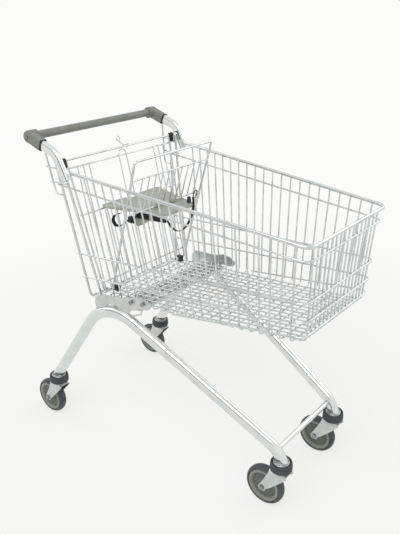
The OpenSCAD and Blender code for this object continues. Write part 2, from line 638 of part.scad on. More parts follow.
// clips that hold the backrest's pins on the flap's lower rod
pin_z = flap_low_z + 5;
pin_x = flap_x(flap_low_z) + 11;
back_half = flap_half_low - back_side_gap;
clip_y = back_half - 19;
module flap_clips() color(black) for (s = [-1, 1]) translate([0, s * clip_y, 0])
  difference() {
    translate([flap_x(flap_low_z) - 7, -8, flap_low_z - 7]) cube([26, 16, 20]);
    translate([flap_x(flap_low_z), 0, flap_low_z]) rotate([90, 0, 0])
      cylinder(d = flap_rod_d + 2 * weld, h = 20, center = true);
    translate([pin_x, 0, pin_z]) rotate([90, 0, 0]) cylinder(d = back_d + 2 * run, h = 20, center = true);
    translate([flap_x(flap_low_z) - 12, -10, flap_low_z + 6]) cube([12.5, 20, 10]);
  }

// ---- bearings of the flap's hinge rod ----
bearing_out = side_y(hinge_x + 8, hinge_z - 8) - post_in - post_d / 2 - 2 * seat_gap - weld * 4;
module hinge_bearings() color(black) for (s = [-1, 1])
  translate([hinge_x, s * (bearing_out - 7), hinge_z]) difference() {
    union() {
      rotate([90, 0, 0]) cylinder(d = 16, h = 14, center = true);
      translate([-7, -7, -22]) cube([15, 14, 20]);
    }
    rotate([90, 0, 0]) cylinder(d = flap_rod_d + 2 * run, h = 20, center = true);
  }

// ---- backrest ----
back_lean = (back_top_x - pin_x) / (back_top_z - pin_z);
function back_x(z) = pin_x + (z - pin_z) * back_lean;
module backrest_frame() color(zinc)
  wire([[pin_x, -clip_y + 10, pin_z], [pin_x, -back_half, pin_z],
        [back_top_x, -back_half, back_top_z], [back_top_x, back_half, back_top_z],
        [pin_x, back_half, pin_z], [pin_x, clip_y - 10, pin_z]], back_d, 9);
grid_top_z = 898;
seat_top_z = seat_wire_z + flap_wire_d / 2 + 0.5 + seat_t;
seat_pin_d = 5;
seat_pin_z = seat_top_z + seat_pin_d / 2 + 0.8;
seat_pin_x = back_x(seat_pin_z);
grid_half = back_half - back_d / 2 - 0.1;
grid_count = 10;
grid_pitch = (back_half - 40.95) / ((grid_count - 1) / 2);
grid_d = 4;
module backrest_grid() color(zinc) {
  rod([back_x(grid_top_z), -grid_half, grid_top_z], [back_x(grid_top_z), grid_half, grid_top_z], seat_pin_d);
  rod([seat_pin_x, -grid_half, seat_pin_z], [seat_pin_x, grid_half, seat_pin_z], seat_pin_d);
  off = (seat_pin_d + grid_d) / 2 + weld;
  for (k = [0 : grid_count - 1]) let (y = (k - (grid_count - 1) / 2) * grid_pitch)
    rod([seat_pin_x + off * 1.06, y, seat_pin_z], [back_x(grid_top_z + 2) + off * 1.06, y, grid_top_z + 2], grid_d);
}

// ---- seat plate ----
seat_rear_half = outer_uprights[0] - upright_d / 2 - seat_side_gap;
seat_rear_x = flap_side_x(seat_wire_z) - 9;
seat_front_x = seat_rear_x + seat_len;
function seat_half(x) = seat_rear_half + (seat_front_half - seat_rear_half) * (x - seat_rear_x) / seat_len;
lug_y = grid_pitch;
seat_low_z = seat_top_z - seat_t;
rib_t = 6;
rib_y = seat_half(seat_pin_x + 18) - rib_t;
module seat_plate() color(grey) {
  difference() {
    union() {
      translate([0, 0, seat_low_z]) linear_extrude(seat_t) polygon([
        [seat_rear_x, -seat_rear_half + 10], [seat_rear_x + 10, -seat_rear_half],
        [seat_front_x - 8, -seat_front_half - 2], [seat_front_x, -seat_front_half + 8],
        [seat_front_x, seat_front_half - 8], [seat_front_x - 8, seat_front_half + 2],
        [seat_rear_x + 10, seat_rear_half], [seat_rear_x, seat_rear_half - 10],
        [seat_rear_x, 26], [seat_rear_x + 18, 24], [seat_rear_x + 18, -24], [seat_rear_x, -26]]);
      for (s = [-1, 1]) {
        translate([seat_pin_x, s * rib_y + rib_t / 2, seat_low_z]) rotate([90, 0, 0])
          linear_extrude(rib_t) polygon([[-52, 1], [-55, -38], [-50, -48], [-44, -52], [-36, -50],
                                         [18, -18], [18, 1]]);
        translate([seat_pin_x - 7, s * lug_y - 7, seat_top_z - 1]) cube([14, 14, 11]);
      }
    }
    translate([seat_pin_x, 0, seat_pin_z]) rotate([90, 0, 0])
      cylinder(d = seat_pin_d + 2 * run, h = 120, center = true);
  }
}

// ---- harness: flat webbing ----
// flat length from a to b, strap_w wide along z
module band(a, b, w, t) {
  v = b - a;
  translate(a) rotate([0, 0, atan2(v[1], v[0])]) rotate([0, -atan2(v[2], norm([v[0], v[1]])), 0])
    translate([0.2, -t / 2, -w / 2]) cube([norm(v) - 0.4, t, w]);
}
strap_t = 2.2;
strap_thin = strap_w * 0.6;
strap_z = seat_low_z - seat_gap - strap_w / 2;
// loop that hangs from the right rear corner of the seat
strap_left = [for (q = [[66, 24, 0], [54, 8, 5], [50, 1, 20], [62, 2, 35], [80, 11, 33], [94, 25, 16]])
  [seat_rear_x + q[0], q[1] - seat_rear_half, strap_z - q[2]]];
// length that lies along the underside to the front corner
strap_under = [[seat_rear_x + 116, -rib_y - 12, strap_z], [seat_front_x - 52, -rib_y - 10, strap_z],
               [seat_front_x - 6, -seat_front_half + 4, strap_z - 2]];
// thin length that hangs in a bow below the front edge
strap_right = [[seat_front_x - 4, -seat_front_half + 6, strap_z - 4],
               [seat_front_x + 4, -seat_front_half + 20, strap_z - 30],
               [seat_front_x + 8, -22, strap_z - 46], [seat_front_x + 10, 8, strap_z - 40],
               [seat_front_x + 6, 36, strap_z - 18],
               [seat_front_x - 2, 54, seat_low_z - seat_gap - strap_thin / 2]];
// loop that stands on the left front corner
strap_up = [[seat_front_x - 8, 58, seat_top_z + seat_gap + strap_thin / 2],
            [seat_front_x - 10, 60, seat_top_z + 30], [seat_front_x + 2, 62, seat_top_z + 46],
            [seat_front_x + 14, 58, seat_top_z + 38], [seat_front_x + 8, 52, seat_top_z + 22]];
module strap_run(p, w) for (i = [0 : len(p) - 2]) band(p[i], p[i + 1], w, strap_t);
module harness_strap() color(black) {
  strap_run(strap_left, strap_w);
  strap_run(strap_under, strap_w);
  strap_run(strap_right, strap_thin);
  strap_run(strap_up, strap_thin);
}
module harness_buckles() color(black) {
  translate(strap_left[5] + [16.6, -strap_t, 4]) cube([26, 8, 22], center = true);
  translate([seat_front_x - 22.4, 58, seat_top_z + seat_gap + 8]) cube([16, 20, 16], center = true);
}

chassis_beam_right();
chassis_beam_left();
front_cross_rod();
cross_rod_bolts();
bracket_right();
bracket_left();
floor_support_plate();
bracket_bolts();
lock_hook();
rim();
side_rails();
side_wires_right();
side_wires_left();
floor_cross_wires();
front_wires();
floor_long_wires();
rear_posts_right();
rear_posts_left();
rear_floor_rods();
handle_arm_right();
handle_arm_left();
handle_grip();
handle_cap_right();
handle_cap_left();
handle_screws();
hinge_bearings();
caster_collar_rr();
caster_collar_rl();
caster_collar_fr();
caster_collar_fl();
flap_frame();
flap_cross_wires();
flap_uprights();
flap_loop();
flap_hook();
flap_clips();
backrest_frame();
backrest_grid();
seat_plate();
harness_strap();
harness_buckles();
fork_rr();
fork_rl();
fork_fr();
fork_fl();
tyre_rr();
tyre_rl();
tyre_fr();
tyre_fl();
wheel_centre_rr();
wheel_centre_rl();
wheel_centre_fr();
wheel_centre_fl();
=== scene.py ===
import json
import math
import bpy
import bmesh
import numpy as np
from mathutils import Matrix, Vector


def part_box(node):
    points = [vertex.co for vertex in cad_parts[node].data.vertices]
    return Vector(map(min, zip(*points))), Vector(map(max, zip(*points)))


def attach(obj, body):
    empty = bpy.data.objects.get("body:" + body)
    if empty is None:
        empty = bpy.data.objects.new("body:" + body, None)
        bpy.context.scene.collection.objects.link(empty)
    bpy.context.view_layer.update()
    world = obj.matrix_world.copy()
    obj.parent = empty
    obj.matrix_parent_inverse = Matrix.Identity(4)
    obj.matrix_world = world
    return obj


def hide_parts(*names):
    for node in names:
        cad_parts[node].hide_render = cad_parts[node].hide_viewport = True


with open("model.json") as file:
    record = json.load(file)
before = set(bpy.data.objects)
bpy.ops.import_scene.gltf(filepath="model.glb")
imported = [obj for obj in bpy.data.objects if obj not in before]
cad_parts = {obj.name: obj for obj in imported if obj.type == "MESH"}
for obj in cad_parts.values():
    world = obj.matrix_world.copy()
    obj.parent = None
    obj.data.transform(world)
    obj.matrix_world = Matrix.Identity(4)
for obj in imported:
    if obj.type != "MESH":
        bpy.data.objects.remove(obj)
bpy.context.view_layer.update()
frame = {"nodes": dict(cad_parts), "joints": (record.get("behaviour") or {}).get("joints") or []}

nodes = frame["nodes"]
casters = ("rr", "rl", "fr", "fl")
print("trolley: frame loaded,", len(nodes), "CAD nodes")


def srgb(text):
    # sRGB hex to linear: ((c + 0.055) / 1.055) ^ 2.4 above 0.04045, c / 12.92 below
    c = np.array([int(text[i:i + 2], 16) for i in (1, 3, 5)]) / 255
    lin = np.where(c > 0.04045, ((c + 0.055) / 1.055) ** 2.4, c / 12.92)
    return (*lin.tolist(), 1.0)


def addNode(tree, kind, settings=None, **links):
    # adds one node; a link value is a socket of another node, a plain number or a colour,
    # and its key is the input's name, or i and the input's number
    made = tree.nodes.new("ShaderNode" + kind)
    for key, value in (settings or {}).items():
        setattr(made, key, value)
    for key, value in links.items():
        numbered = key[0] == "i" and key[1:].isdigit()
        socket = made.inputs[int(key[1:]) if numbered else key.replace("_", " ")]
        if isinstance(value, bpy.types.NodeSocket):
            tree.links.new(value, socket)
        else:
            socket.default_value = value
    return made


def addObject(name, data, material=None):
    # a new object in the scene, at the origin, for a mesh, camera or light
    made = bpy.data.objects.new(name, data)
    bpy.context.scene.collection.objects.link(made)
    if material:
        data.materials.append(material)
    return made


def tidyMesh(mesh, merge=0.0, thin=0.0):
    # vertices closer than merge become one, edges shorter than thin go, and faces turn outwards
    work = bmesh.new()
    work.from_mesh(mesh)
    if merge:
        bmesh.ops.remove_doubles(work, verts=work.verts, dist=merge)
    if thin:
        bmesh.ops.dissolve_degenerate(work, edges=work.edges, dist=thin)
    bmesh.ops.recalc_face_normals(work, faces=work.faces)
    work.to_mesh(mesh)
    work.free()


def roundCorners(points, radius, steps=5, closed=True):
    # each corner becomes a quadratic curve: (1-t)^2 a + 2t(1-t) p + t^2 b, with a and b up to
    # radius away
    pts = np.asarray(points, float)
    radii = np.broadcast_to(np.asarray(radius, float), len(pts))
    out = []
    for i, p in enumerate(pts):
        if not closed and i in (0, len(pts) - 1):
            out.append(p[None])
            continue
        before, after = pts[i - 1] - p, pts[(i + 1) % len(pts)] - p
        reachA = min(radii[i], np.linalg.norm(before) * 0.49) / np.linalg.norm(before)
        reachB = min(radii[i], np.linalg.norm(after) * 0.49) / np.linalg.norm(after)
        t = np.linspace(0, 1, steps)[:, None]
        out.append((1 - t) ** 2 * (p + before * reachA) + 2 * t * (1 - t) * p
                   + t ** 2 * (p + after * reachB))
    return np.concatenate(out)


def gridQuads(rows, columns, wrapRows, wrapColumns):
    # quads between neighbours (i, j), (i+1, j), (i+1, j+1), (i, j+1) of a grid
    i = np.arange(rows if wrapRows else rows - 1)
    j = np.arange(columns if wrapColumns else columns - 1)
    a, b = np.meshgrid(i, j, indexing="ij")
    c, d = (a + 1) % rows, (b + 1) % columns
    return np.stack([a * columns + b, c * columns + b, c * columns + d, a * columns + d],
                    -1).reshape(-1, 4)


def lathe(profile, centre, axis=(0, 1, 0), count=64, closed=True):
    # surface of revolution: centre + axis*h + (e1*cos v + e2*sin v)*r for each profile point (r, h)
    profile = np.asarray(profile, float)
    w = np.asarray(axis, float) / np.linalg.norm(axis)
    e1 = np.cross(w, (0, 0, 1) if abs(w[2]) < 0.9 else (1, 0, 0))
    e1 /= np.linalg.norm(e1)
    e2 = np.cross(w, e1)
    v = np.linspace(0, 2 * np.pi, count, endpoint=False)
    ring = np.cos(v)[:, None] * e1 + np.sin(v)[:, None] * e2
    pts = np.asarray(centre, float) + profile[:, None, 1:2] * w + profile[:, None, 0:1] * ring[None]
    return pts.reshape(-1, 3), gridQuads(len(profile), count, closed, True)


def frames(path, up):
    # tangent by central differences, side = tangent x up, both unit; the up vector may change
    # along the path
    path = np.asarray(path, float)
    t = np.gradient(path, axis=0)
    t /= np.linalg.norm(t, axis=1)[:, None]
    side = np.cross(t, np.broadcast_to(np.asarray(up, float), path.shape))
    side /= np.linalg.norm(side, axis=1)[:, None]
    return t, side, np.cross(side, t)


def sweep(path, section, up):
    # a closed section (a, b) carried along a path: p(s) + side(s)*a + over(s)*b, with both ends
    # capped to their middle
    path = np.asarray(path, float)
    section = np.asarray(section, float)
    _, side, over = frames(path, up)
    rows = path[:, None] + (side[:, None] * section[None, :, 0:1]
                            + over[:, None] * section[None, :, 1:2])
    start = np.repeat(path[None, :1], len(section), 1)
    end = np.repeat(path[None, -1:], len(section), 1)
    rows = np.concatenate([start, rows, end])
    return rows.reshape(-1, 3), gridQuads(len(rows), len(section), False, True)


def smoothPath(points, count):
    # Catmull-Rom curve through the points, evenly sampled
    p = np.asarray(points, float)
    p = np.vstack([2 * p[0] - p[1], p, 2 * p[-1] - p[-2]])
    s = np.linspace(0, len(p) - 3 - 1e-9, count)
    k = s.astype(int)
    t = (s - k)[:, None]
    a, b, c, d = p[k], p[k + 1], p[k + 2], p[k + 3]
    return 0.5 * (2 * b + (c - a) * t + (2 * a - 5 * b + 4 * c - d) * t ** 2
                  + (3 * b - 3 * c + d - a) * t ** 3)


def roundBox(half, corner, steps=4):
    # outline of a rectangle 2*half wide with rounded corners, as (a, b)
    a, b = half
    return roundCorners([(-a, -b), (a, -b), (a, b), (-a, b)], corner, steps)


def joinParts(parts):
    # one list of points and one of faces: each part's faces count on from the parts before it
    points, faces, start = [], [], 0
    for p, f in parts:
        points.append(p)
        faces.append(f + start)
        start += len(p)
    return np.concatenate(points), np.concatenate(faces)


mergeReach = 2e-6   # metres: points nearer than this are the same point


def piece(name, parts, material, body, replaces=(), sharp=35, bevel=0):
    # one object from its parts: doubles merged, normals outward, then the finishing modifiers
    points, faces = joinParts(parts)
    mesh = bpy.data.meshes.new(name)
    mesh.from_pydata(points.tolist(), [], faces.tolist())
    tidyMesh(mesh, mergeReach, 1e-7)
    mesh.shade_smooth()
    mesh.set_sharp_from_angle(angle=math.radians(sharp))
    made = addObject(name, mesh, material)
    if bevel:
        edge = made.modifiers.new("edge", "BEVEL")
        edge.width, edge.segments, edge.limit_method = bevel, 2, "ANGLE"
        edge.angle_limit = math.radians(30)
    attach(made, body)
    if replaces:
        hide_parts(*replaces)
    return made


def nodeBox(name):
    # lowest and highest corner of a CAD node, as arrays
    low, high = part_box(name)
    return np.array(low), np.array(high)


view = {
    "place": (1.1698, -1.3835, 1.3921),   # metres
    "azimuth": -50.188,                   # degrees from +X round to the camera
    "elevation": 23.577,
    "roll": -0.494,
    "lens": 42.536,                       # mm, on a 36 mm sensor
    "backdrop": "#FBFBFA",
    "floorShow": 0.30,                    # share of the floor that takes light and shadow
    "worldFill": 0.62,
    "floorHalf": 9,
    "floorFade": (0.9, 2.6),              # distances between which that share fades out
    # name, place and size of the dark cards that stand beside the view
    "cards": [("frontCard", (-0.3, -2.5, 1.35), (4.2, 0.55)),
              ("leftCard", (-3.4, -0.6, 1.5), (3.0, 0.6))],
    # name, place, target, size and watts of the soft boxes
    "lights": [("keyBox", (0.6, -2.2, 3.2), (0, 0, 0.5), (2.6, 1.8), 38),
               ("sideBox", (-2.8, -0.6, 2.2), (0, 0, 0.6), (1.6, 2.2), 16),
               ("backBox", (1.2, 2.6, 2.6), (0, 0, 0.6), (2.2, 1.6), 14)],
}


def makeCamera():
    # the camera's own back is (cos a cos e, sin a cos e, sin e), then rolled about its own Z
    data = bpy.data.cameras.new("camera")
    data.sensor_width, data.lens = 36, view["lens"]
    data.clip_end = 50
    made = addObject("camera", data)
    a, e = math.radians(view["azimuth"]), math.radians(view["elevation"])
    back = Vector((math.cos(a) * math.cos(e), math.sin(a) * math.cos(e), math.sin(e)))
    roll = Matrix.Rotation(math.radians(view["roll"]), 3, "Z")
    turn = back.to_track_quat("Z", "Y").to_matrix() @ roll
    made.matrix_world = Matrix.Translation(view["place"]) @ turn.to_4x4()
    bpy.context.scene.camera = made


def areaLight(name, place, target, size, power):
    # a soft box at place, its face turned to target
    data = bpy.data.lights.new(name, "AREA")
    data.shape, data.size, data.size_y, data.energy = "RECTANGLE", size[0], size[1], power
    made = addObject(name, data)
    made.location = place
    made.rotation_euler = (Vector(place) - Vector(target)).to_track_quat("Z", "Y").to_euler()


def showBackdrop(tree, seen, unseen):
    # camera, glossy and transmitted rays see the pale backdrop, and diffuse light comes from the
    # other shader
    path = addNode(tree, "LightPath")
    some = addNode(tree, "Math", {"operation": "MAXIMUM"}, i0=path.outputs["Is Camera Ray"],
                   i1=path.outputs["Is Glossy Ray"])
    every = addNode(tree, "Math", {"operation": "MAXIMUM"}, i0=some.outputs[0],
                    i1=path.outputs["Is Transmission Ray"])
    return addNode(tree, "MixShader", None, i0=every.outputs[0], i1=unseen, i2=seen).outputs[0]


def makeWorld():
    # an even pale backdrop, which gives a little less light than it shows
    world = bpy.data.worlds.new("studio")
    bpy.context.scene.world = world
    world.use_nodes = True
    tree = world.node_tree
    tree.nodes.clear()
    seen = addNode(tree, "Background", None, Color=srgb(view["backdrop"]), Strength=1.0)
    fill = addNode(tree, "Background", None, Color=srgb(view["backdrop"]),
                   Strength=view["worldFill"])
    out = addNode(tree, "OutputWorld")
    tree.links.new(showBackdrop(tree, seen.outputs[0], fill.outputs[0]), out.inputs["Surface"])


def newMaterial(name):
    # an empty material: its node tree, output and Object coordinates
    material = bpy.data.materials.new(name)
    material.use_nodes = True
    tree = material.node_tree
    tree.nodes.clear()
    out = addNode(tree, "OutputMaterial")
    place = addNode(tree, "TexCoord").outputs["Object"]
    return material, tree, out, place


def makeFloor():
    # matt paper: mostly the flat backdrop tone, with a share that takes the soft shadows
    paper, tree, out, place = newMaterial("paper_sweep")
    card = addNode(tree, "BsdfDiffuse", None, Color=srgb(view["backdrop"]), Roughness=0.6)
    glow = addNode(tree, "Emission", None, Color=srgb(view["backdrop"]), Strength=1.0)
    near, far = view["floorFade"]
    # the share fades out with distance, so the paper runs into the backdrop without an edge
    away = addNode(tree, "VectorMath", {"operation": "LENGTH"}, i0=place)
    share = addNode(tree, "MapRange", {"interpolation_type": "SMOOTHSTEP"},
                    i0=away.outputs["Value"], i1=near, i2=far, i3=view["floorShow"], i4=0.0)
    both = addNode(tree, "MixShader", None, i0=share.outputs[0], i1=glow.outputs[0],
                   i2=card.outputs[0])
    plain = addNode(tree, "BsdfDiffuse", None, Color=srgb(view["backdrop"]), Roughness=0.6)
    tree.links.new(showBackdrop(tree, both.outputs[0], plain.outputs[0]), out.inputs["Surface"])
    u = np.linspace(-view["floorHalf"], view["floorHalf"], 3)
    x, y = np.meshgrid(u, u, indexing="ij")
    points = np.stack([x, y, np.zeros_like(x)], -1).reshape(-1, 3)
    mesh = bpy.data.meshes.new("floor")
    mesh.from_pydata(points.tolist(), [], gridQuads(3, 3, False, False).tolist())
    addObject("floor", mesh, paper)


def makeCards():
    # long dark grey cards beside the view: bright metal takes thin dark lines from them
    felt, tree, out, _ = newMaterial("grey_felt_card")
    cloth = addNode(tree, "BsdfDiffuse", None, Color=srgb("#3A3D3F"), Roughness=0.9)
    tree.links.new(cloth.outputs[0], out.inputs["Surface"])
    for name, place, size in view["cards"]:
        towards = Vector(place).normalized()
        across = towards.cross((0, 0, 1)).normalized()
        over = across.cross(towards)
        corners = [Vector(place) + across * a * size[0] / 2 + over * b * size[1] / 2
                   for a, b in ((-1, -1), (1, -1), (1, 1), (-1, 1))]
        mesh = bpy.data.meshes.new(name)
        mesh.from_pydata([list(c) for c in corners], [], [(0, 1, 2, 3)])
        addObject(name, mesh, felt)


bpy.context.scene.view_settings.view_transform = "Standard"
makeCamera()
makeWorld()
makeFloor()
makeCards()
for light in view["lights"]:
    areaLight(*light)
print("trolley: camera and studio in place")


def platedSteel(name, colour, shade, roughness, cloud, grain, depth):
    # steel with bright zinc plating: a cool silver with soft cloudy patches, a fine drawn or
    # rolled grain that breaks the highlight, and a slightly duller film in the patches
    material, tree, out, place = newMaterial(name)
    patch = addNode(tree, "TexNoise", None, Vector=place, Scale=1000 / cloud, Detail=3.0,
                    Roughness=0.55)
    fine = addNode(tree, "TexNoise", None, Vector=place, Scale=1000 / grain, Detail=2.0,
                   Roughness=0.6)
    tone = addNode(tree, "ValToRGB", None, Fac=patch.outputs[0])
    tone.color_ramp.elements[0].position, tone.color_ramp.elements[1].position = 0.32, 0.68
    tone.color_ramp.elements[0].color, tone.color_ramp.elements[1].color = srgb(shade), srgb(colour)
    gloss = addNode(tree, "MapRange", None, i0=patch.outputs[0], i1=0.3, i2=0.7,
                    i3=roughness + 0.07, i4=roughness - 0.04)
    bump = addNode(tree, "Bump", None, Height=fine.outputs[0], Strength=0.35, Distance=depth)
    steel = addNode(tree, "BsdfPrincipled", None, Base_Color=tone.outputs[0], Metallic=1.0,
                    Roughness=gloss.outputs[0], Normal=bump.outputs[0])
    tree.links.new(steel.outputs[0], out.inputs["Surface"])
    return material


def mouldedPlastic(name, colour, shade, roughness, grain, depth, coat=0.0):
    # injection-moulded plastic or rubber: an even body colour with slight flow clouds and the fine
    # spark-eroded grain of the tool
    material, tree, out, place = newMaterial(name)
    flow = addNode(tree, "TexNoise", None, Vector=place, Scale=1000 / 35, Detail=3.0, Roughness=0.5)
    tone = addNode(tree, "ValToRGB", None, Fac=flow.outputs[0])
    tone.color_ramp.elements[0].position, tone.color_ramp.elements[1].position = 0.3, 0.7
    tone.color_ramp.elements[0].color, tone.color_ramp.elements[1].color = srgb(shade), srgb(colour)
    spark = addNode(tree, "TexVoronoi", {"feature": "SMOOTH_F1"}, Vector=place, Scale=1000 / grain)
    bump = addNode(tree, "Bump", None, Height=spark.outputs["Distance"], Strength=0.4,
                   Distance=depth)
    rough = addNode(tree, "MapRange", None, i0=flow.outputs[0], i1=0.3, i2=0.7, i3=roughness + 0.05,
                    i4=roughness - 0.05)
    body = addNode(tree, "BsdfPrincipled", None, Base_Color=tone.outputs[0],
                   Roughness=rough.outputs[0], IOR=1.49, Normal=bump.outputs[0])
    body.inputs["Coat Weight"].default_value = coat
    tree.links.new(body.outputs[0], out.inputs["Surface"])
    return material


def wovenWebbing(name, colour, shade, pick):
    # polyester webbing: a plain weave of fine yarns along the strap's own U and V, in metres,
    # so matt with a faint yarn sheen; at band scale 0.314 one band is one unit of the mapping
    material, tree, out, _ = newMaterial(name)
    oneBand = 0.314
    strip = addNode(tree, "UVMap").outputs[0]
    size = addNode(tree, "Mapping", None, Vector=strip, Scale=(1000 / pick, 1000 / pick, 1))
    along = addNode(tree, "TexWave", {"bands_direction": "X", "wave_profile": "SIN"},
                    Vector=size.outputs[0], Scale=oneBand)
    across = addNode(tree, "TexWave", {"bands_direction": "Y", "wave_profile": "SIN"},
                     Vector=size.outputs[0], Scale=oneBand)
    weave = addNode(tree, "Math", {"operation": "MULTIPLY"}, i0=along.outputs["Fac"],
                    i1=across.outputs["Fac"])
    tone = addNode(tree, "ValToRGB", None, Fac=weave.outputs[0])
    tone.color_ramp.elements[0].color, tone.color_ramp.elements[1].color = srgb(shade), srgb(colour)
    bump = addNode(tree, "Bump", None, Height=weave.outputs[0], Strength=0.6, Distance=0.0004)
    cloth = addNode(tree, "BsdfPrincipled", None, Base_Color=tone.outputs[0], Roughness=0.8,
                    Normal=bump.outputs[0])
    cloth.inputs["Sheen Weight"].default_value = 0.15
    tree.links.new(cloth.outputs[0], out.inputs["Surface"])
    return material


# colour, darker patches, roughness, patch size mm, grain mm, grain depth m
drawnWire = platedSteel("zinc_plated_drawn_wire", "#DCDFDE", "#C4C8C8", 0.20, 30, 1.6, 0.00006)
satinTube = platedSteel("zinc_plated_satin_tube", "#E3E6E4", "#D6DAD9", 0.20, 45, 2.2, 0.00008)
pressedSheet = platedSteel("zinc_plated_pressed_sheet", "#D9DCDA", "#C6CAC9", 0.42, 22, 2.0,
                           0.00010)
boltSteel = platedSteel("zinc_plated_bolt_steel", "#A5A8A7", "#8B8F90", 0.30, 8, 1.2, 0.00005)
gripPlastic = mouldedPlastic("moulded_grip_pvc", "#8C8F88", "#82857E", 0.42, 1.1, 0.00008)
capPlastic = mouldedPlastic("moulded_cap_abs", "#868982", "#7A7D77", 0.45, 1.3, 0.00010)
seatPlastic = mouldedPlastic("moulded_seat_polypropylene", "#B6B8AF", "#ABADA4", 0.50, 1.5, 0.00012)
blackPlastic = mouldedPlastic("moulded_black_nylon", "#222325", "#18191B", 0.38, 1.2, 0.00008)
strapWeave = wovenWebbing("woven_polyester_webbing", "#26272A", "#0E0F10", 1.0)
collarRubber = mouldedPlastic("moulded_collar_rubber", "#45474B", "#393B3E", 0.55, 1.6, 0.00012)
tyreRubber = mouldedPlastic("thermoplastic_rubber_tyre", "#505155", "#434448", 0.58, 1.8, 0.00016)
wheelPlastic = mouldedPlastic("moulded_wheel_polypropylene", "#94968F", "#888A84", 0.45, 1.4,
                              0.00008)
# the thread guard is a real part, but its grey is set darker than the wheel's as painted shade of
# the wheel's recess
guardPaintedShadePlastic = mouldedPlastic("thread_guard_polypropylene_painted_recess_shade", "#6B6D68", "#5F615D", 0.48, 1.4,
                              0.00008)

finishes = {
    satinTube: ["chassis_beam_right", "chassis_beam_left", "handle_arm_right", "handle_arm_left",
                "front_cross_rod"],
    pressedSheet: ["bracket_right", "bracket_left", "floor_support_plate"],
    drawnWire: ["rim", "side_rails", "side_wires_right", "side_wires_left", "front_wires",
                "floor_cross_wires", "floor_long_wires", "rear_posts_right", "rear_posts_left",
                "rear_floor_rods", "lock_hook", "flap_frame", "flap_cross_wires",
                "flap_uprights", "flap_loop", "flap_hook", "backrest_frame", "backrest_grid"],
    boltSteel: ["bracket_bolts", "cross_rod_bolts", "handle_screws"],
    blackPlastic: ["flap_clips"],
}
for finish, names in finishes.items():
    for name in names:
        mesh = nodes[name].data
        mesh.materials.clear()
        mesh.materials.append(finish)
print("trolley: materials assigned")


caster = {
    "tread": 0.0021,        # fall of the tread from its middle to its shoulder, metres
    "sheet": 0.003,         # fork sheet
    "crease": 0.0016,       # height of the pressed rib down each cheek
    "turn": 0.0075,         # bend radius where a cheek meets the crown
    "rubber": 0.0109,       # from the tread in to the wheel centre
    "cheekOut": 0.006,      # cheek's outer face beyond the tyre's side
    "crownDrop": 0.0049,    # crown's middle under the collar
    "crownHalf": 0.0285,    # half the crown's length
    "footHalf": 0.0128,     # half the cheek's width at the axle
    "footDrop": 0.013,      # round end below the axle
}


def casterPlaces(code):
    # axle's middle, pivot's middle, the cheeks' outer face and the collar's underside
    low, high = nodeBox("tyre_" + code)
    collarLow, collarHigh = nodeBox("caster_collar_" + code)
    outer = (high[1] - low[1]) / 2 + caster["cheekOut"]
    return (low + high) / 2, (collarLow + collarHigh) / 2, outer, collarLow[2]


def tyrePart(code):
    low, high = nodeBox("tyre_" + code)
    centre, r, half = (low + high) / 2, (high[2] - low[2]) / 2, (high[1] - low[1]) / 2
    inner = r - caster["rubber"]
    # tread: r(y) = R - fall * (y / half)^2 between two rounded shoulders, and a flat bead that
    # meets the wheel centre
    y = np.linspace(-1, 1, 15)
    tread = np.stack([r - caster["tread"] * y ** 2, y * half * 0.66], -1)
    side = np.array([(r - 0.0048, half * 0.9), (r - 0.0062, half), (inner + 0.0022, half),
                     (inner, half - 0.0016)])
    profile = np.concatenate([tread, side, (side * (1, -1))[::-1]])
    return lathe(roundCorners(profile, 0.0015, 3), centre, count=96)


def wheelParts(code):
    low, high = nodeBox("wheel_centre_" + code)
    centre, r, half = (low + high) / 2, (high[2] - low[2]) / 2, (high[1] - low[1]) / 2
    # rim ring with a rounded lip and a dished web: r and y of one half, mirrored about the wheel's
    # middle plane
    outer = np.array([(r, 0.0128), (r - 0.0012, 0.0142), (r - 0.0078, 0.0142),
                      (r - 0.0098, 0.0122), (r - 0.0122, 0.0066), (r - 0.016, 0.0052),
                      (0.0245, 0.0062), (0.0185, 0.0096), (0.0150, 0.0100),
                      (0.0128, half - 0.0006), (0.0118, half), (0.0046, half)])
    profile = np.concatenate([outer, (outer * (1, -1))[::-1]])
    return lathe(roundCorners(profile, 0.0012, 4), centre, count=96)


def guardParts(code):
    # thread guard: a shallow cone r(y) with a rounded edge, snapped into the dish on each side of
    # the web; its grey, darker than the wheel's, is painted shade of the wheel's recess
    low, high = nodeBox("wheel_centre_" + code)
    centre = (low + high) / 2
    parts = []
    for s in (-1, 1):
        profile = np.array([(0.0385, 0.0058), (0.0392, 0.0072), (0.0380, 0.0082),
                            (0.0300, 0.0088), (0.0262, 0.0100), (0.0240, 0.0128),
                            (0.0190, 0.0140), (0.0132, 0.0142), (0.0132, 0.0104),
                            (0.0190, 0.0100), (0.0240, 0.0064)])
        parts.append(lathe(roundCorners(profile * (1, s), 0.0008, 4), centre, count=80))
    return parts


